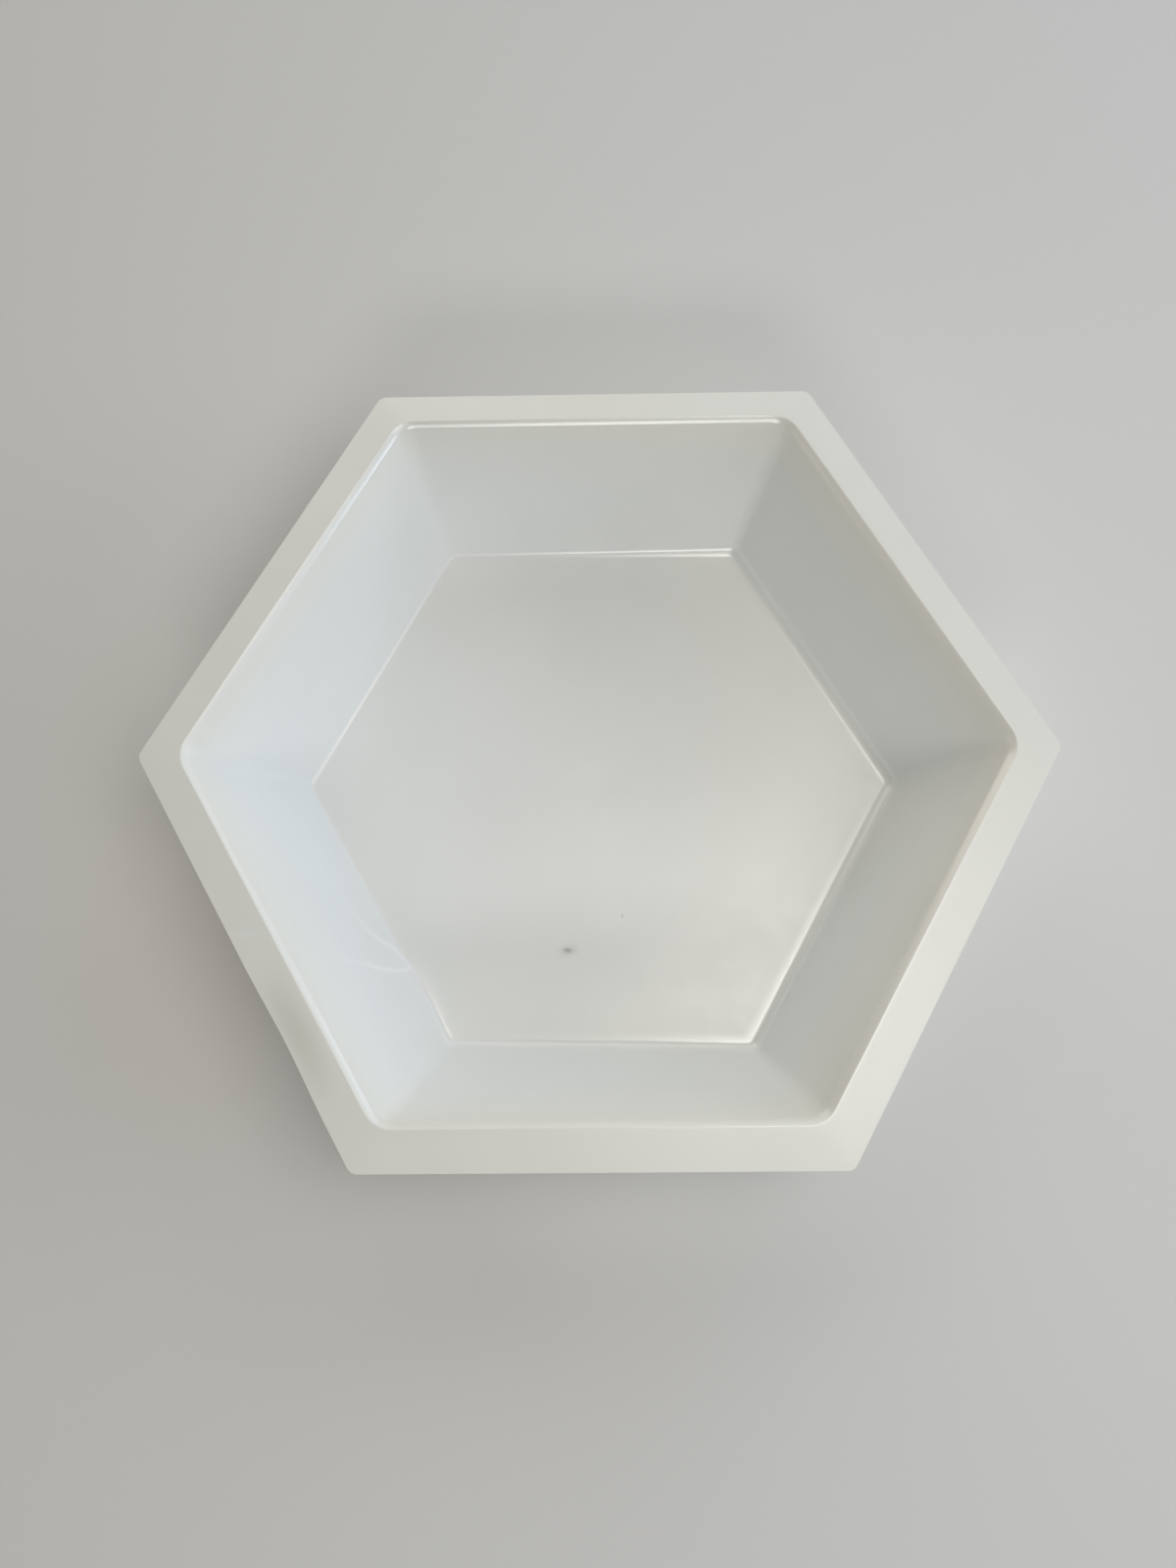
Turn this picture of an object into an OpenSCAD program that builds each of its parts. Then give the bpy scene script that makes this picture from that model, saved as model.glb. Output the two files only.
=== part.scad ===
// Hexagonal weighing boat: one sheet of white plastic, formed hot over a mould and then die-cut.
// Millimetres. +Z is up, two corners lie on the X axis, and the origin is the middle of the cut
// outline, at the height of the underside.
//
// The upper face of the sheet is drawn as a section through the middle of one side: a flat rim, a
// roll over into the wall, a flat wall that leans outwards, a fillet and the flat floor. The
// underside is the same section, moved out by the thickness of the sheet. Each point of a section
// becomes one level ring, a hexagon with rounded corners, and the rings are stacked into a solid.

/* [Overall] */
// Width of the rim across its flats
rim_flats = 114.3; // [90:0.1:200]
// Height from the underside to the top of the rim
height = 25.4; // [12:0.1:60]
// Thickness of the sheet
sheet_t = 0.4; // [0.2:0.05:0.8]

/* [Bowl] */
// Width of the floor across its flats, where the planes of the walls meet it
floor_flats = 82.4; // [50:0.1:85]
// Width of the flat rim, from its edge to the planes of the walls
rim_w = 5.3; // [3:0.1:12]
// How far the die cut lies off the middle of the bowl, along X and along Y
cut_shift = [0.2, -0.6]; // [-1:0.1:1]

/* [Fillets] */
// Radius of the roll from the rim into the wall, on the upper face
roll_r = 1.2; // [0.9:0.1:2]
// Radius of the fillet between the wall and the floor, on the upper face
floor_fillet_r = 2.3; // [1:0.1:4]

/* [Corners] */
// Corner radius of the rim's outline, seen from above
rim_corner_r = 1.5; // [0.2:0.1:10]
// Corner radius of the opening, where the walls meet the rim
opening_corner_r = 3.6; // [1:0.1:12]
// Corner radius at the foot of the walls
foot_corner_r = 2; // [0.5:0.1:10]

/* [Smoothness] */
// Steps round each of the six corners
corner_steps = 6; // [3:1:12]
// Steps round each fillet of the section
fillet_steps = 6; // [3:1:12]

/* [Hidden] */

sides = 6;
half_side = 180 / sides;
// How far the cavity runs on above the rim, to cut the rim's top cleanly
cut_over = 1;
// The smallest corner that a ring may have
least_corner_r = 0.1;

// The cut outline is centred on the origin, and the bowl is set off from it
outline_middle = [0, 0];
bowl_middle = -cut_shift;

// Half widths across the flats: of the rim, and where the walls' planes meet its top and the floor
rim_a = rim_flats / 2;
opening_a = rim_a - rim_w;
floor_a = floor_flats / 2;

// The walls lean out from the vertical, and the sheet bends by the rest of a right angle at each fillet
inner_depth = height - sheet_t;
wall_lean = atan((opening_a - floor_a) / inner_depth);
bend = 90 - wall_lean;

// Centres of the two fillets in the section, as [half width, height]
floor_bend = [floor_a - floor_fillet_r * tan(bend / 2), sheet_t + floor_fillet_r];
roll_bend = [opening_a + roll_r * tan(bend / 2), height - roll_r];

// Points of the section from the floor out to the rim, at a depth under the upper face
function floor_arc(under) = [for (k = [0:fillet_steps]) let (turn = bend * k / fillet_steps)
    floor_bend + (floor_fillet_r + under) * [sin(turn), -cos(turn)]];
function roll_arc(under) = [for (k = [fillet_steps:-1:0]) let (turn = bend * k / fillet_steps)
    roll_bend + (roll_r - under) * [-sin(turn), cos(turn)]];
function bowl_section(under) = concat(floor_arc(under), roll_arc(under));

// Half width and corner radius of the walls' upper face at a height
function wall_a(z) = floor_a + (z - sheet_t) * tan(wall_lean);
function wall_corner_r(z) =
    foot_corner_r + (opening_corner_r - foot_corner_r) * (z - sheet_t) / inner_depth;
// The corner radius grows and shrinks by as much as a point of the section lies outside that face
function corner_r(p) = max(least_corner_r, wall_corner_r(p[1]) + p[0] - wall_a(p[1]));

// One level ring: a hexagon of half width a, with corners of radius r, at height z
function ring(a, r, z, middle) = [for (side = [0:sides - 1], k = [0:corner_steps])
    let (
        corner = side * 2 * half_side,
        swing = corner + half_side * (2 * k / corner_steps - 1),
        to_centre = (a - r) / cos(half_side)
    )
    [
        middle[0] + to_centre * cos(corner) + r * cos(swing),
        middle[1] + to_centre * sin(corner) + r * sin(swing),
        z
    ]];
function bowl_rings(under) =
    [for (p = bowl_section(under)) ring(p[0], corner_r(p), p[1], bowl_middle)];

// A solid between the first ring and the last
module stack(rings) {
    n = len(rings[0]);
    last = len(rings) - 1;
    polyhedron(
        points = [for (r = rings, p = r) p],
        faces = concat(
            [[for (i = [0:n - 1]) i]],
            [for (k = [1:last], i = [0:n - 1]) let (j = (i + 1) % n)
                [(k - 1) * n + i, k * n + i, k * n + j, (k - 1) * n + j]],
            [[for (i = [n - 1:-1:0]) last * n + i]]
        )
    );
}

// Everything above the underside, filled up to the top of the rim
module outer_form() {
    stack(concat(bowl_rings(sheet_t), [
        ring(rim_a, rim_corner_r, height - sheet_t, outline_middle),
        ring(rim_a, rim_corner_r, height, outline_middle)
    ]));
}

// The space that the boat holds, run on above the rim
module cavity() {
    mouth = [roll_bend[0], height];
    stack(concat(bowl_rings(0), [ring(mouth[0], corner_r(mouth), height + cut_over, bowl_middle)]));
}

module weighing_boat() {
    color("whitesmoke")
        difference() {
            outer_form();
            cavity();
        }
}

weighing_boat();
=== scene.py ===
"""Weighing boat: one thin sheet of white plastic, with a pale floor, soft light and a camera from above."""

import math

import bpy
import numpy as np
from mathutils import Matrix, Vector


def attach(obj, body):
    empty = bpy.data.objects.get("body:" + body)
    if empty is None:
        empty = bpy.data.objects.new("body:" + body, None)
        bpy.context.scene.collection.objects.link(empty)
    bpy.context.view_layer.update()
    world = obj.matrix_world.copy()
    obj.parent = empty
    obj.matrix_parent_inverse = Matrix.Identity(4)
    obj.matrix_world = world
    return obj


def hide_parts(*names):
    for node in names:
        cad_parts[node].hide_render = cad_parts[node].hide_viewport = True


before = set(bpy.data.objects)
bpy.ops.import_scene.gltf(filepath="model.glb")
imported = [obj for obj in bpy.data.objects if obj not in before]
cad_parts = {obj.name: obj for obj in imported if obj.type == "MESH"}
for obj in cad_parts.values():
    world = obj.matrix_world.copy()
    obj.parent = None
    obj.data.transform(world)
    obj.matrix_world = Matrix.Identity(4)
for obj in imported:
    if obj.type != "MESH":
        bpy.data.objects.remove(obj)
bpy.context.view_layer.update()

MM = 0.001
CAD_NODE = "weighing_boat"
TINY = 1e-6

# The CAD model's number of sides, and its sizes in millimetres
SIDES = 6
RIM_FLATS = 114.3
HEIGHT = 25.4
SHEET_T = 0.4
FLOOR_FLATS = 82.4
RIM_W = 5.3
ROLL_R = 1.2
FILLET_R = 2.3
RIM_CORNER_R = 1.5
OPENING_CORNER_R = 3.6
FOOT_CORNER_R = 2.0
LEAST_CORNER_R = 0.1
BOWL_MIDDLE = np.array([-0.2, 0.6])

# Worked out from them. Half widths run from the middle to a side, and FLOOR_BEND is the fillet's centre
HALF_SIDE = math.pi / SIDES
RIM_A = RIM_FLATS / 2
OPENING_A = RIM_A - RIM_W
FLOOR_A = FLOOR_FLATS / 2
INNER_DEPTH = HEIGHT - SHEET_T
WALL_LEAN = math.atan((OPENING_A - FLOOR_A) / INNER_DEPTH)
BEND = math.pi / 2 - WALL_LEAN
FLOOR_BEND = (FLOOR_A - FILLET_R * math.tan(BEND / 2), SHEET_T + FILLET_R)

# The thin rim hangs a little lower at its cut edge, a guess from its tone. Edges that turn by more than an
# angle get a bevel, but Blender narrows it to nothing, so it only changes how the cut edge is shaded
RIM_SAG = 0.35
BEVEL_W = 0.06
BEVEL_TURN = math.radians(60)

# The roll over the wall's top is not quite round: it is slow about one turn, and quicker before and after,
# a guess that gives the photo's line of light along it. At its quickest its radius is a little less than the
# sheet's thickness, so that the underside has two folds there, too narrow to see
SLOW_TURN = math.radians(41)
SLOW_SPAN = 0.17
SLOW_SHARE, QUICK_SHARE = 2.6, 0.3

# Corners run anticlockwise from +X, and each side runs from the corner of its own number to the next one.
# The floor is raised a little, and beside the fillet it stands this much higher or lower at each corner. Both
# are guesses from the floor's tones
FLOOR_LIFT = 0.2
CORNER_LIFTS = [-0.16, 0, 0.06, 0.12, -0.08, -0.28]
LIFT_LENGTH = 5.0
# How far the foot and the top of each wall lie outside their drawn place, at the side's start and at its end.
# They were set from measured offsets, so that the walls' edges lie on the photo's
FOOT_SHIFTS = np.array([(0.9, 0.5), (0.4, 0.1), (0.8, 0.3), (-0.4, -0.3), (0.0, 1.0), (0.8, 0.8)])
TOP_SHIFTS = np.array([(-0.1, -0.3), (-0.2, -0.3), (-0.5, -0.5), (-0.2, -0.5), (-0.3, -0.5), (-0.5, 0)])
# The floor fillet's radius at each corner, as a share of the drawn one, a guess from the photo's highlights
FILLET_SHARES = [1, 1, 0.2, 0.6, 0.8, 1]
# How glossy the bends are at each corner. The dull ones are a guess from highlights that the photo lacks
GLOSS_SHARES = [1, 1, 0.8, 0, 0.6, 1]

# The lower left side has been pressed in and is creased
BUCKLED_SIDE = 3
# Creases as points: millimetres along the side from its middle, and along the section from the fillet's foot
LOW_CREASE = [(-14, 9.0), (-8, 8.4), (-3, 8.0), (0, 7.6), (2.4, 6.4), (4.4, 4.5), (6.3, 2.4), (8.6, 1.4),
              (10.6, 0.9), (14.4, 0.5), (19, 0.7), (24, 1.2)]
HIGH_CREASE = [(10.5, 0.9), (10.4, 2.2), (10.0, 5.1), (9.2, 8.3), (8.0, 11.1), (6.4, 16.2), (5.2, 19.5)]
RIM_CREASE = [(-3.0, 33.4), (-1.9, 31.6), (-0.9, 29.9), (0.2, 28.6)]
# Each crease's height and half width, then how white its line is and that line's half width
LOW_RIDGE = (0.055, 0.338, 0.9, 0.26)
HIGH_RIDGE = (0.045, 0.26, 0.8, 0.26)
RIM_RIDGE = (0.03, 0.416, 0.6, 0.312)
# Shares of a crease's length: the low one grows over the first span, fades by a part over the second and
# ends over the third, and the high one ends over its span. The rim's starts, is strongest and ends there
LOW_GROWS, LOW_FADES, LOW_ENDS = (0.15, 0.62), (0.68, 0.75), (0.8, 1)
LOW_FADED = 0.65
HIGH_ENDS = (0.35, 1)
RIM_CREASE_SPAN = (-0.3, 0.45, 1.2)
# A hollow in the wall, and a dent where the floor's edge is pressed up: how deep or high, then where each
# starts, is strongest and ends, along the side and along the section
HOLLOW_DEPTH, HOLLOW_ALONG, HOLLOW_UP = 0.1, (1, 8, 10.2), (1.5, 5, 16)
DENT_LIFT, DENT_ALONG, DENT_UP = 0.28, (9, 15, 25), (-1, 2.2, 9)
# The rim droops beside them. The droop grows outwards over a span of the section, by a power of the way
# across it, and draws the rim in by a share of the drop
DROOP, DROOP_ALONG, DROOP_UP = 0.8, (2, 14, 27), (28.9, 33.5)
DROOP_POWER, DROOP_PULL = 1.3, 0.1

# Steps of the sheet's grid round a corner, up the fillet and over the roll, and its lines across the rim
CORNER_STEPS = 8
FILLET_STEPS = 12
ROLL_STEPS = 18
RIM_STOPS = [0.04, 0.12, 0.22, 0.33, 0.45, 0.57, 0.69, 0.8, 0.9, 0.96, 0.99, 1]
# Elsewhere the bounds of its spans, as shares of the whole, and each span's number of even steps
SIDE_SPANS = ([0, 1], [36])
BUCKLED_SPANS = ([0, 0.2, 0.9, 0.93, 0.96, 1], [5, 149, 1, 1, 1])
FLOOR_SPANS = ([0, 0.78, 1], [12, 9])
WALL_SPANS = ([0, 0.3, 1], [25, 23])

# Up a wall the painted light turns from the foot's cool to the top's warm between these shares of its height,
# and from the top it falls to the rim's over a short run
PAINTED_LIGHT_TURNS = (0.3, 1.12)
RIM_PAINTED_LIGHT, RIM_PAINTED_LIGHT_RUN = 0.9, 1.5
# The bends' gloss starts over a span about the fillet's foot and ends over one about the roll's end. On the
# wall it ends over a distance from either bend
GLOSS_ON_FLOOR, GLOSS_ON_RIM = (-0.4, 0.3), (-0.2, 0.3)
GLOSS_ON_WALL = 0.6

SHEET_WHITE = (0.9, 0.904, 0.875, 1)
SHEET_DULL = (0.88, 0.882, 0.849, 1)
STRESS_WHITE = (0.97, 0.97, 0.96, 1)
MARK_GREY = (0.12, 0.115, 0.11, 1)
# Painted light: the walls are painted a little cool at their foot, and they and the rim a little warm at the
# top, standing in for the room's coloured light and not the sheet's own colour
PAINTED_COOL_FOOT_LIGHT = (0.985, 1.0, 1.015, 1)
PAINTED_WARM_TOP_LIGHT = (1.026, 1.01, 0.965, 1)
PLAIN = (1, 1, 1, 1)
# Marks on the sheet: middle, half sizes, turn in degrees, softness of the border and darkness
MARKS = [
    ((-5.1, -26.05, SHEET_T), (0.62, 0.34, 1), -12, 0.8, 0.45),
    ((-5.0, -26.1, SHEET_T), (1.25, 0.8, 1), 10, 0.8, 0.15),
    ((3.64, -20.7, SHEET_T), (0.16, 0.28, 1), 10, 0.6, 0.3),
    ((46.64, 4.65, 3.66), (0.3, 0.3, 0.3), 0, 0.7, 0.55),
]
# The flat faces' roughness varies between two values, and the bends have one of their own
ROUGH_LOW, ROUGH_HIGH = 0.32, 0.37
BEND_ROUGH = 0.28
SHEET_IOR, SPECULAR_LEVEL = 1.57, 0.8
COAT_IOR = 1.7
# Sizes of the blobs of cloud and satin, and size, depth and strength of the fine grain and the longer waves
CLOUD_SIZE, SATIN_SIZE = 22, 3.5
GRAIN_SIZE, GRAIN_DEPTH, GRAIN_STRENGTH = 0.35, 0.006, 0.25
WAVE_SIZE, WAVE_DEPTH, WAVE_STRENGTH = 2.2, 0.004, 0.6
# Nearly all of a noise lies between these values
NOISE_SPAN = (0.3, 0.7)

# The studio floor, in metres from here on. It lies just under the boat's foot
FLOOR_HALF = 1.5
FLOOR_Z = -0.00005
FLOOR_COLOUR = (0.78, 0.765, 0.735, 1)
FLOOR_ROUGH = 0.9
# The lit floor turns into the plain pale backdrop between these distances from the boat
BACKDROP_SPAN = (0.28, 0.62)
BACKDROP_COLOUR = (0.62, 0.61, 0.595, 1)
WORLD_COLOUR = (0.03, 0.03, 0.03, 1)

# The lamps' colours, and the size of most of them
SKY = (0.69, 0.82, 1)
PALE_SKY = (0.75, 0.86, 1)
WARM = (1, 0.93, 0.82)
WARMER = (1, 0.91, 0.8)
YELLOWISH = (1, 0.94, 0.82)
CREAM = (1, 0.99, 0.94)
PALE_CREAM = (1, 1, 0.97)
WHITE = (1, 1, 1)
SOFTBOX = (0.34, 0.34)
# Lamps: azimuth round the boat from +X towards +Y, height above the horizon, distance, sizes, colour, watts.
# Most come from a least-squares fit of a scratch script to the photo's tones over the boat, and were then
# rounded and adjusted by hand. They follow the photo's exposure, so the boat's floor renders at about 205 of
# 255, where its colour alone would be about 243
LAMPS = {
    "right_low": (0, 18, 0.8, SOFTBOX, SKY, 1.28),
    "rear_right_low": (30, 18, 0.8, SOFTBOX, SKY, 0.76),
    "rear_low": (90, 18, 0.8, SOFTBOX, WARM, 0.33),
    "rear_left_low": (120, 18, 0.8, SOFTBOX, WARM, 0.54),
    "left_low": (180, 18, 0.8, SOFTBOX, WARM, 0.244),
    "rear_right": (60, 30, 0.8, SOFTBOX, PALE_SKY, 0.68),
    "front_right": (330, 32, 0.8, (0.5, 0.5), SKY, 0.46),
    "front_strip": (271, 38, 0.82, (0.32, 0.14), WHITE, 1.12),
    "rear": (90, 42, 0.8, SOFTBOX, PALE_CREAM, 0.38),
    "rear_left": (120, 42, 0.8, SOFTBOX, YELLOWISH, 0.38),
    "near_front_right": (330, 65, 0.35, (0.2, 0.2), WARMER, 0.15),
    "near_right": (0, 70, 0.35, (0.15, 0.15), PALE_CREAM, 0.12),
    "overhead": (350, 80, 0.81, (0.18, 0.18), CREAM, 0.38),
    "overhead_rear": (90, 84, 0.81, (0.24, 0.24), WHITE, 0.2),
}
LAMP_TARGET = Vector((0, 0, 0.01))

# Camera: the photograph's pose in millimetres and degrees, and its focal length in the photograph's pixels
CAMERA_PLACE = (0.478, -41.68, 179.176)
CAMERA_TURN = (13.45, 0.8, -0.47)
FOCAL_PIXELS, PHOTO_PIXELS = 1140.6, 1600
SENSOR_W = 36
CLIP_NEAR, CLIP_FAR = 0.01, 20


def stops(bounds, counts):
    """Shares between 0 and 1, without either, that cut the spans between the bounds into even steps."""
    runs = [np.linspace(low, high, steps + 1)[:-1] for low, high, steps in zip(bounds, bounds[1:], counts)]
    return np.concatenate(runs)[1:]


def side_stops(side):
    """Where the grid's lines cross a side, as shares of its length."""
    return stops(*(BUCKLED_SPANS if side == BUCKLED_SIDE else SIDE_SPANS))


def corner_r(a, z):
    """Corner radius of the section's point at half width a and height z."""
    wall_a = FLOOR_A + (z - SHEET_T) * math.tan(WALL_LEAN)
    wall_r = FOOT_CORNER_R + (OPENING_CORNER_R - FOOT_CORNER_R) * (z - SHEET_T) / INNER_DEPTH
    return max(LEAST_CORNER_R, wall_r + a - wall_a)


def ring(a, r, z, middle=(0, 0)):
    """One level ring of the sheet: a hexagon of half width a with corners of radius r."""
    reach = (a - r) / math.cos(HALF_SIDE)
    arcs = []
    for side in range(SIDES):
        corner = side * 2 * HALF_SIDE
        swing = corner + HALF_SIDE * np.linspace(-1, 1, CORNER_STEPS + 1)
        arcs.append(np.column_stack([reach * math.cos(corner) + r * np.cos(swing),
                                     reach * math.sin(corner) + r * np.sin(swing)]))
    parts = []
    for side, arc in enumerate(arcs):
        start, end = arc[-1], arcs[(side + 1) % SIDES][0]
        parts += [arc, start + np.outer(side_stops(side), end - start)]
    flat = np.vstack(parts) + middle
    return np.column_stack([flat, np.full(len(flat), z)])


def spread(corner_rows):
    """A row for each column of a ring, from one for each corner, with a straight run along each side."""
    parts = []
    for side, row in enumerate(corner_rows):
        after = corner_rows[(side + 1) % SIDES]
        parts += [np.tile(row, (CORNER_STEPS + 1, 1)), row + np.outer(side_stops(side), after - row)]
    return np.vstack(parts)


def spread_numbers(corner_numbers):
    """A number for each column of a ring, from one for each corner."""
    return spread(np.array(corner_numbers, float)[:, None])[:, 0]


def roll():
    """The roll's section from the wall's top to the rim: half widths, heights, its own girths and turns."""
    turns = np.linspace(BEND, 0, ROLL_STEPS + 1)
    middle = (turns[1:] + turns[:-1]) / 2
    radii = ROLL_R * (QUICK_SHARE + SLOW_SHARE * np.exp(-((middle - SLOW_TURN) / SLOW_SPAN) ** 2))
    steps = radii * BEND / ROLL_STEPS
    out = np.concatenate([[0], np.cumsum(steps * np.cos(middle))])
    up = np.concatenate([[0], np.cumsum(steps * np.sin(middle))])
    heights = HEIGHT - up[-1] + up
    start = FLOOR_A + (heights[0] - SHEET_T) * math.tan(WALL_LEAN)
    return start + out, heights, np.concatenate([[0], np.cumsum(steps)]), turns


def section():
    """The upper face from near the floor's middle out to the cut edge, as rings with their girth and turn.

    Girth is the distance along the section from the fillet's foot. Turn is the angle that the face has
    turned up from level."""
    rows = []
    foot = ring(FLOOR_BEND[0], corner_r(FLOOR_BEND[0], SHEET_T), SHEET_T)
    for share in stops(*FLOOR_SPANS):
        rows.append((foot * [share, share, 1] + [*BOWL_MIDDLE, 0], FLOOR_BEND[0] * (share - 1), 0))
    for turn in np.linspace(0, BEND, FILLET_STEPS + 1):
        a, z = FLOOR_BEND[0] + FILLET_R * math.sin(turn), FLOOR_BEND[1] - FILLET_R * math.cos(turn)
        rows.append((ring(a, corner_r(a, z), z, BOWL_MIDDLE), FILLET_R * turn, turn))
    girth = FILLET_R * BEND
    roll_a, roll_z, roll_girth, roll_turn = roll()
    wall = math.hypot(roll_a[0] - a, roll_z[0] - z)
    for share in stops(*WALL_SPANS):
        at_a, at_z = a + (roll_a[0] - a) * share, z + (roll_z[0] - z) * share
        rows.append((ring(at_a, corner_r(at_a, at_z), at_z, BOWL_MIDDLE), girth + wall * share, BEND))
    girth += wall
    for a, z, step, turn in zip(roll_a, roll_z, roll_girth, roll_turn):
        rows.append((ring(a, corner_r(a, z), z, BOWL_MIDDLE), girth + step, turn))
    girth += roll_girth[-1]
    inner, outer = rows[-1][0], ring(RIM_A, RIM_CORNER_R, HEIGHT - RIM_SAG)
    for share in RIM_STOPS:
        rows.append((inner + (outer - inner) * share, girth + (RIM_A - roll_a[-1]) * share, 0))
    return [np.array(part) for part in zip(*rows)]


def landmarks(girth, turn):
    """The girths where the fillet, the wall and the roll end."""
    top = girth[turn == BEND].max()
    return FILLET_R * BEND, top, girth[(girth > top) & (turn == 0)].min()


def smooth(low, high, value):
    """0 below low, 1 above high, and a smooth step between."""
    share = np.clip((value - low) / (high - low), 0, 1)
    return share * share * (3 - 2 * share)


def hump(low, top, high, value):
    """A smooth hump from low to high with its top in between."""
    return smooth(low, top, value) * (1 - smooth(top, high, value))


def bell(gap, half_width):
    """1 on a line, falling off with the distance from it."""
    return np.exp(-0.5 * (gap / half_width) ** 2)


def crease_distance(line, along, girth):
    """Distance from each point to a crease, and how far along it the nearest place is, from 0 to 1."""
    line = np.array(line, float)
    steps = np.linalg.norm(np.diff(line, axis=0), axis=1)
    reached = np.concatenate([[0], np.cumsum(steps)]) / steps.sum()
    best, where = np.full(along.shape, np.inf), np.zeros(along.shape)
    for k, (start, end) in enumerate(zip(line[:-1], line[1:])):
        run = end - start
        share = np.clip(((along - start[0]) * run[0] + (girth - start[1]) * run[1]) / (run @ run), 0, 1)
        gap = np.hypot(along - start[0] - share * run[0], girth - start[1] - share * run[1])
        nearer = gap < best
        best = np.where(nearer, gap, best)
        where = np.where(nearer, reached[k] + share * (reached[k + 1] - reached[k]), where)
    return best, where


def ridge(look, gap, power):
    """How high a crease stands at each point and how white it is there, as a pair."""
    height, half_width, white, white_half_width = look
    return np.array([height * power * bell(gap, half_width), white * power * bell(gap, white_half_width)])


def creases(along, girth):
    """How high the creases stand at each point of the side and how white they are there, as a pair."""
    gap, share = crease_distance(LOW_CREASE, along, girth)
    power = smooth(*LOW_GROWS, share) * (1 - smooth(*LOW_ENDS, share))
    pair = ridge(LOW_RIDGE, gap, power * (1 - LOW_FADED * smooth(*LOW_FADES, share)))
    gap, share = crease_distance(HIGH_CREASE, along, girth)
    pair += ridge(HIGH_RIDGE, gap, 1 - smooth(*HIGH_ENDS, share))
    gap, share = crease_distance(RIM_CREASE, along, girth)
    return pair + ridge(RIM_RIDGE, gap, hump(*RIM_CREASE_SPAN, share))


def corner_moves(shifts):
    """How far each corner moves across, where the walls beside it move outwards by their shifts there."""
    angles = (2 * np.arange(SIDES) + 1) * HALF_SIDE
    outward = np.column_stack([np.cos(angles), np.sin(angles)])
    return np.array([np.linalg.solve(outward[[side - 1, side]], [shifts[side - 1, 1], shifts[side, 0]])
                     for side in range(SIDES)])


def settle(rows, girth, turn):
    """Gives the floor fillet its radius all round, moves each wall's foot and top, and raises the floor."""
    foot, top, roll_end = landmarks(girth, turn)
    edge = ring(FLOOR_A, corner_r(FLOOR_A, SHEET_T), SHEET_T, BOWL_MIDDLE)
    rounded = edge + (rows - edge) * spread_numbers(FILLET_SHARES)[:, None]
    in_fillet = (girth > -TINY) & (girth <= foot + TINY)
    moved = np.where(in_fillet[:, None, None], rounded, rows)
    foot_weight = np.interp(girth, [-FLOOR_BEND[0], 0, foot, top], [0, 1, 1, 0])
    top_weight = np.interp(girth, [foot, top, roll_end, girth.max()], [0, 1, 1, 0])
    moved[..., :2] += foot_weight[:, None, None] * spread(corner_moves(FOOT_SHIFTS))
    moved[..., :2] += top_weight[:, None, None] * spread(corner_moves(TOP_SHIFTS))
    near_fillet = np.clip(girth / LIFT_LENGTH + 1, 0, 1) ** 2
    low = np.interp(girth, [foot, top], [1, 0])
    moved[..., 2] += low[:, None] * (FLOOR_LIFT + near_fillet[:, None] * spread_numbers(CORNER_LIFTS))
    return moved


def press(rows, girth, turn):
    """Moves the grid as the boat has been bent, and returns it with how much each point is whitened."""
    angle = (BUCKLED_SIDE * 2 + 1) * HALF_SIDE
    outward = np.array([math.cos(angle), math.sin(angle)])
    onward = np.array([-math.sin(angle), math.cos(angle)])
    flat = rows[..., :2] - BOWL_MIDDLE
    along, out = flat @ onward, flat @ outward
    up = np.broadcast_to(girth[:, None], along.shape)
    lift, white = creases(along, up)
    lift -= HOLLOW_DEPTH * hump(*HOLLOW_ALONG, along) * hump(*HOLLOW_UP, up)
    lift += DENT_LIFT * hump(*DENT_ALONG, along) * hump(*DENT_UP, up)
    drop = DROOP * hump(*DROOP_ALONG, along) * smooth(*DROOP_UP, up) ** DROOP_POWER
    on_side = np.abs(along) < out * math.tan(HALF_SIDE) + TINY
    lift, drop, white = np.where(on_side, [lift, drop, np.clip(white, 0, 1)], 0)
    moved = settle(rows, girth, turn)
    inward = np.sin(turn)[:, None] * lift + DROOP_PULL * drop
    moved[..., :2] -= inward[..., None] * outward
    moved[..., 2] += np.cos(turn)[:, None] * lift - drop
    moved[..., 2] = np.clip(moved[..., 2], SHEET_T, HEIGHT)
    return moved, white


def painted_wall_light(girth, turn):
    """Each ring's painted light: -1, cool, at the walls' foot, 1, warm, at their top, a little less on the
    rim, 0 on the floor.
    """
    foot, top, _ = landmarks(girth, turn)
    tone = (2 * smooth(*PAINTED_LIGHT_TURNS, (girth - foot) / (top - foot)) - 1) * smooth(0, foot, girth)
    rim = 1 - (1 - RIM_PAINTED_LIGHT) * smooth(top, top + RIM_PAINTED_LIGHT_RUN, girth)
    return np.where(girth > top, rim, tone)


def bend_gloss(girth, turn):
    """How glossy the bends have made each ring: 1 in the fillet and the roll, and 0 on the flat faces."""
    foot, top, roll_end = landmarks(girth, turn)
    in_fillet = smooth(*GLOSS_ON_FLOOR, girth) * (1 - smooth(foot, foot + GLOSS_ON_WALL, girth))
    in_roll = smooth(top - GLOSS_ON_WALL, top, girth) * (1 - smooth(*GLOSS_ON_RIM, girth - roll_end))
    return in_fillet + in_roll


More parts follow.
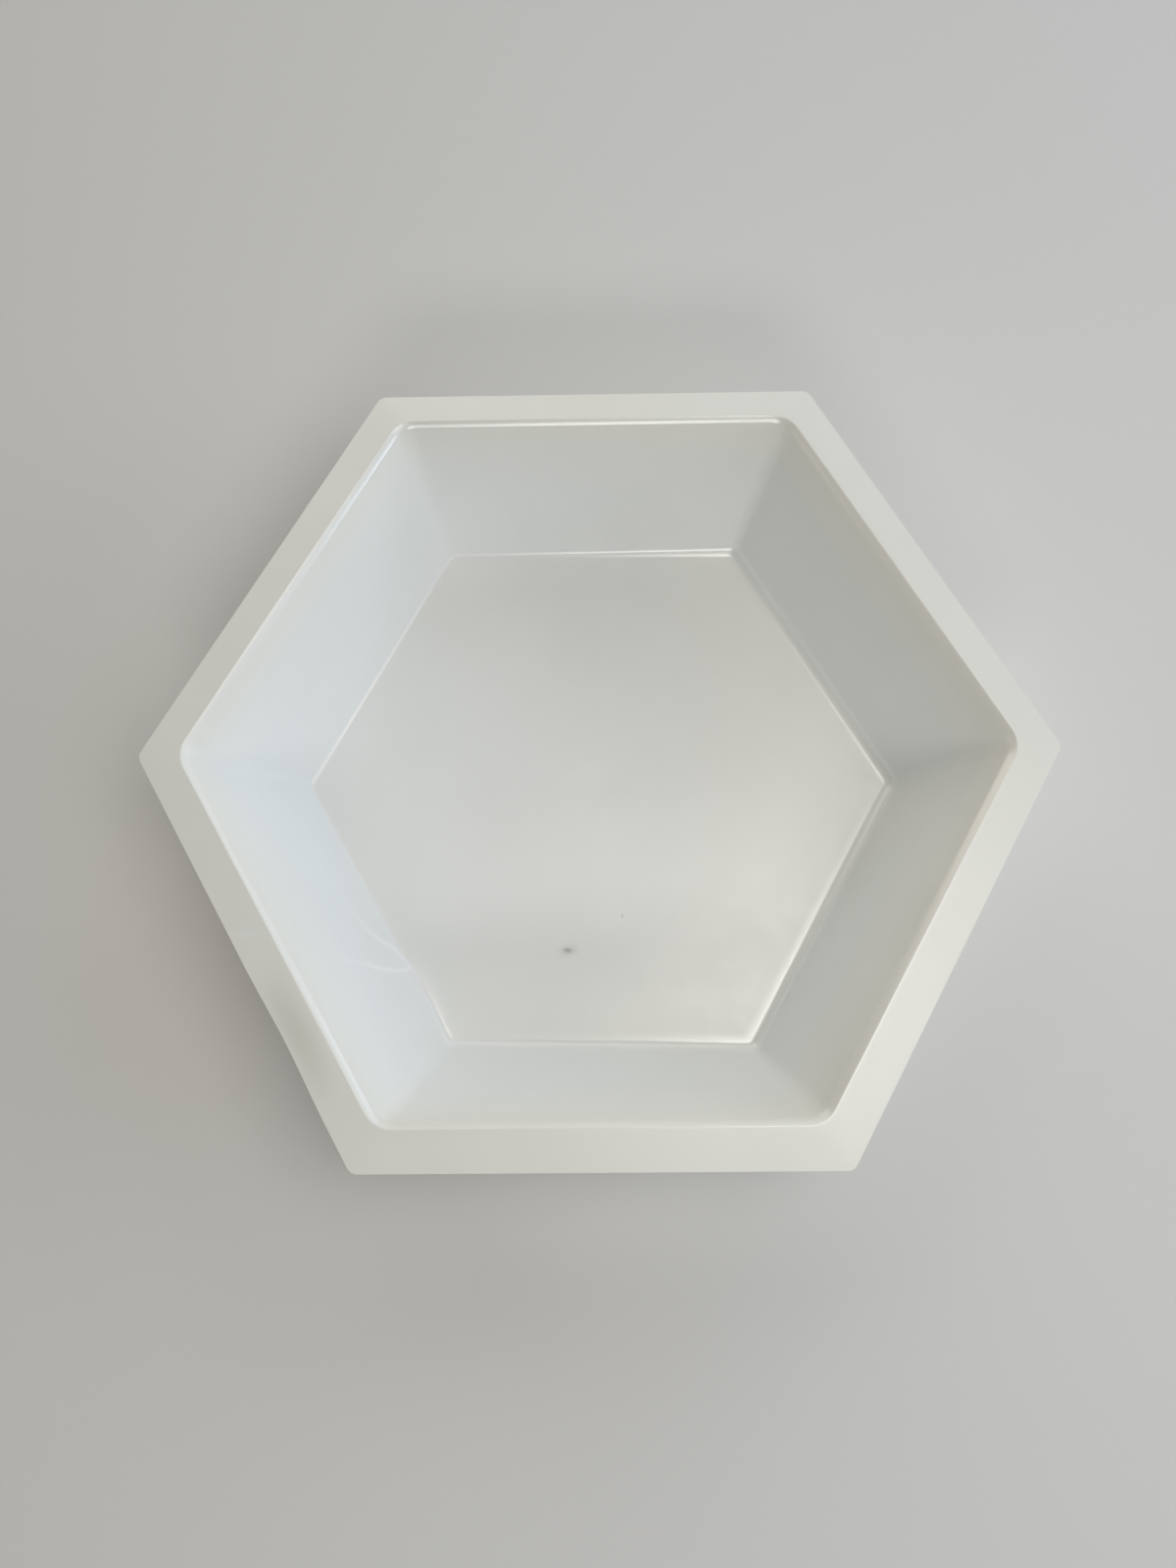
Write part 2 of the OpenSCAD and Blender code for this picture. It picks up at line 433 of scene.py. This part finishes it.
def sheet_mesh(name):
    """The upper face of the sheet as an open grid, closed over the floor's middle by a fan.

    The fan's middle point stays at the drawn height, which leaves a slight dimple in the raised floor."""
    rows, girth, turn = section()
    count, columns = rows.shape[:2]
    # The tone attribute carries the painted light up the walls: cool at their foot, warm at their top and on
    # the rim
    tone = np.repeat(painted_wall_light(girth, turn), columns)
    gloss = np.outer(bend_gloss(girth, turn), spread_numbers(GLOSS_SHARES)).ravel()
    rows, white = press(rows, girth, turn)
    points = np.vstack([rows.reshape(-1, 3), [[*BOWL_MIDDLE, SHEET_T]]])
    here = np.arange(columns)
    after = (here + 1) % columns
    faces = []
    for k in range(count - 1):
        near, far = k * columns, (k + 1) * columns
        faces += np.column_stack([near + here, far + here, far + after, near + after]).tolist()
    faces += np.column_stack([np.full(columns, len(points) - 1), here, after]).tolist()
    mesh = bpy.data.meshes.new(name)
    mesh.from_pydata((points * MM).tolist(), [], faces)
    for label, values in (("whitened", white.ravel()), ("tone", tone), ("gloss", gloss)):
        mesh.attributes.new(label, "FLOAT", "POINT").data.foreach_set("value", np.append(values, 0))
    mesh.validate()
    return mesh


def node(tree, kind, settings=(), **inputs):
    """A new shader node, with its own settings as pairs and its inputs as values or sockets that feed them.

    An input goes by its name, or by i and its number where names repeat."""
    made = tree.nodes.new(kind)
    for name, value in settings:
        setattr(made, name, value)
    for name, value in inputs.items():
        socket = made.inputs[int(name[1:])] if name[1:].isdigit() else made.inputs[name.replace("_", " ")]
        if isinstance(value, bpy.types.NodeSocket):
            tree.links.new(value, socket)
        else:
            socket.default_value = value
    return made


def object_place(tree):
    """Where a point lies on its object, in metres."""
    return tree.nodes.new("ShaderNodeTexCoord").outputs["Object"]


def attribute(tree, name):
    """A number that the mesh holds for each of its points."""
    return node(tree, "ShaderNodeAttribute", [("attribute_name", name)]).outputs["Fac"]


def length(tree, vector):
    """The length of a vector."""
    return node(tree, "ShaderNodeVectorMath", [("operation", "LENGTH")], i0=vector).outputs["Value"]


def product(tree, first, second):
    """One number times another."""
    return node(tree, "ShaderNodeMath", [("operation", "MULTIPLY")], i0=first, i1=second).outputs[0]


def ramp(tree, value, low, high, to_low=0.0, to_high=1.0):
    """The value stretched smoothly from the span low to high to the span to_low to to_high."""
    return node(tree, "ShaderNodeMapRange", [("interpolation_type", "SMOOTHSTEP")], Value=value,
                From_Min=low, From_Max=high, To_Min=to_low, To_Max=to_high).outputs["Result"]


def noise(tree, place, size, detail, roughness=0.5):
    """Noise whose blobs are about size millimetres across, from 0 to 1."""
    return node(tree, "ShaderNodeTexNoise", Vector=place, Scale=1 / (size * MM), Detail=detail,
                Roughness=roughness).outputs["Fac"]


def blend(tree, share, first, second, kind="MIX"):
    """The first colour turned into the second by a share, or multiplied by it."""
    return node(tree, "ShaderNodeMix", [("data_type", "RGBA"), ("blend_type", kind)], i0=share, i6=first,
                i7=second).outputs[2]


def spot(tree, place, middle, size, turn, soft):
    """1 inside a small oval mark on the sheet and 0 outside, with a soft border."""
    moved = node(tree, "ShaderNodeMapping", [("vector_type", "TEXTURE")], Vector=place,
                 Location=[c * MM for c in middle], Rotation=(0, 0, math.radians(turn)),
                 Scale=[c * MM for c in size]).outputs["Vector"]
    return ramp(tree, length(tree, moved), 1 - soft, 1 + soft, 1, 0)


def sheet_colour(tree, place):
    """Faintly clouded white, with painted light up the walls and rim, small marks and whitened creases."""
    clouds = ramp(tree, noise(tree, place, CLOUD_SIZE, detail=3), *NOISE_SPAN)
    colour = blend(tree, clouds, SHEET_DULL, SHEET_WHITE)
    # Painted light: the walls cooler at their foot and warmer at their top and on the rim
    tone = attribute(tree, "tone")
    painted_light = blend(tree, ramp(tree, tone, -1, 0), PAINTED_COOL_FOOT_LIGHT, PLAIN)
    painted_light = blend(tree, ramp(tree, tone, 0, 1), painted_light, PAINTED_WARM_TOP_LIGHT)
    colour = blend(tree, 1.0, colour, painted_light, "MULTIPLY")
    for middle, size, turn, soft, dark in MARKS:
        inside = spot(tree, place, middle, size, turn, soft)
        colour = blend(tree, product(tree, inside, dark), colour, MARK_GREY)
    return blend(tree, attribute(tree, "whitened"), colour, STRESS_WHITE)


def sheet_roughness(tree, place, gloss):
    """Satin that varies a little from place to place, and is smoother on the bends."""
    blobs = noise(tree, place, SATIN_SIZE, detail=4, roughness=0.6)
    satin = ramp(tree, blobs, *NOISE_SPAN, ROUGH_LOW, ROUGH_HIGH)
    return node(tree, "ShaderNodeMix", i0=gloss, i2=satin, i3=BEND_ROUGH).outputs[0]


def sheet_normal(tree, place):
    """A fine grain, with longer shallow waves over it."""
    grain = noise(tree, place, GRAIN_SIZE, detail=3)
    fine = node(tree, "ShaderNodeBump", Strength=GRAIN_STRENGTH, Distance=GRAIN_DEPTH * MM, Height=grain)
    waves = noise(tree, place, WAVE_SIZE, detail=1)
    return node(tree, "ShaderNodeBump", Strength=WAVE_STRENGTH, Distance=WAVE_DEPTH * MM, Height=waves,
                Normal=fine.outputs["Normal"]).outputs["Normal"]


def sheet_material():
    """Satin white polystyrene, opaque, with a coat of gloss on the bends."""
    material = bpy.data.materials.new("satin_white_sheet")
    material.use_nodes = True
    tree = material.node_tree
    shader = tree.nodes["Principled BSDF"]
    place = object_place(tree)
    gloss = attribute(tree, "gloss")
    tree.links.new(sheet_colour(tree, place), shader.inputs["Base Color"])
    tree.links.new(sheet_roughness(tree, place, gloss), shader.inputs["Roughness"])
    tree.links.new(sheet_normal(tree, place), shader.inputs["Normal"])
    shader.inputs["IOR"].default_value = SHEET_IOR
    shader.inputs["Specular IOR Level"].default_value = SPECULAR_LEVEL
    tree.links.new(gloss, shader.inputs["Coat Weight"])
    shader.inputs["Coat Roughness"].default_value = BEND_ROUGH
    shader.inputs["Coat IOR"].default_value = COAT_IOR
    return material


def build_boat():
    """The sheet given its thickness, with a bevel for the shading of its die-cut edge."""
    boat = bpy.data.objects.new("boat_sheet", sheet_mesh("boat_sheet"))
    bpy.context.scene.collection.objects.link(boat)
    solid = boat.modifiers.new("thickness", "SOLIDIFY")
    solid.thickness = SHEET_T * MM
    solid.offset = -1
    solid.use_even_offset = True
    edge = boat.modifiers.new("cut_edge", "BEVEL")
    edge.width = BEVEL_W * MM
    edge.segments = 2
    edge.limit_method = "ANGLE"
    edge.angle_limit = BEVEL_TURN
    final = bpy.data.meshes.new_from_object(boat.evaluated_get(bpy.context.evaluated_depsgraph_get()))
    boat.modifiers.clear()
    boat.data = final
    final.name = "boat_sheet"
    final.shade_smooth()
    final.materials.clear()
    final.materials.append(sheet_material())
    return boat


def for_camera(tree, share, lit, plain, output):
    """Shows the plain shader in place of the lit one, to the camera only and by a share."""
    seen = tree.nodes.new("ShaderNodeLightPath").outputs["Is Camera Ray"]
    shown = node(tree, "ShaderNodeMixShader", i0=product(tree, share, seen), i1=lit, i2=plain).outputs[0]
    tree.links.new(shown, output)


def floor_material():
    """Matt pale paper that runs out into the backdrop."""
    material = bpy.data.materials.new("pale_floor")
    material.use_nodes = True
    tree = material.node_tree
    shader = tree.nodes["Principled BSDF"]
    shader.inputs["Base Color"].default_value = FLOOR_COLOUR
    shader.inputs["Roughness"].default_value = FLOOR_ROUGH
    far = ramp(tree, length(tree, object_place(tree)), *BACKDROP_SPAN)
    plain = node(tree, "ShaderNodeEmission", Color=BACKDROP_COLOUR).outputs[0]
    for_camera(tree, far, shader.outputs[0], plain, tree.nodes["Material Output"].inputs["Surface"])
    return material


def build_floor():
    """The floor that the boat stands on, as one flat square."""
    half = FLOOR_HALF
    corners = [(x, y, FLOOR_Z) for x, y in ((-half, -half), (half, -half), (half, half), (-half, half))]
    mesh = bpy.data.meshes.new("floor")
    mesh.from_pydata(corners, [], [(0, 1, 2, 3)])
    mesh.materials.append(floor_material())
    floor = bpy.data.objects.new("floor", mesh)
    bpy.context.scene.collection.objects.link(floor)
    return floor


def build_lamp(name, azimuth, height, distance, sizes, colour, watts):
    """One soft lamp that faces the boat and that the camera doesn't see."""
    data = bpy.data.lights.new(name, "AREA")
    data.shape = "RECTANGLE"
    data.size, data.size_y = sizes
    data.color = colour
    data.energy = watts
    lamp = bpy.data.objects.new(name, data)
    bpy.context.scene.collection.objects.link(lamp)
    az, el = math.radians(azimuth), math.radians(height)
    place = Vector((math.cos(el) * math.cos(az), math.cos(el) * math.sin(az), math.sin(el))) * distance
    lamp.location = place
    lamp.rotation_euler = (LAMP_TARGET - place).to_track_quat("-Z", "Y").to_euler()
    lamp.visible_camera = False


def build_world():
    """A dim even light from all round, with the backdrop's colour to the camera."""
    world = bpy.data.worlds.new("studio")
    world.use_nodes = True
    tree = world.node_tree
    lit = tree.nodes["Background"]
    lit.inputs["Color"].default_value = WORLD_COLOUR
    plain = node(tree, "ShaderNodeBackground", Color=BACKDROP_COLOUR).outputs[0]
    for_camera(tree, 1.0, lit.outputs[0], plain, tree.nodes["World Output"].inputs["Surface"])
    bpy.context.scene.world = world


def build_camera():
    """The camera at the photograph's pose."""
    data = bpy.data.cameras.new("camera")
    data.sensor_width = SENSOR_W
    data.lens = SENSOR_W * FOCAL_PIXELS / PHOTO_PIXELS
    data.clip_start, data.clip_end = CLIP_NEAR, CLIP_FAR
    camera = bpy.data.objects.new("camera", data)
    bpy.context.scene.collection.objects.link(camera)
    camera.location = Vector(CAMERA_PLACE) * MM
    camera.rotation_euler = [math.radians(angle) for angle in CAMERA_TURN]
    bpy.context.scene.camera = camera


boat = build_boat()
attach(boat, "root")
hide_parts(CAD_NODE)

build_floor()

for lamp_name, lamp_settings in LAMPS.items():
    build_lamp(lamp_name, *lamp_settings)
build_world()
build_camera()
bpy.context.scene.view_settings.view_transform = "Standard"
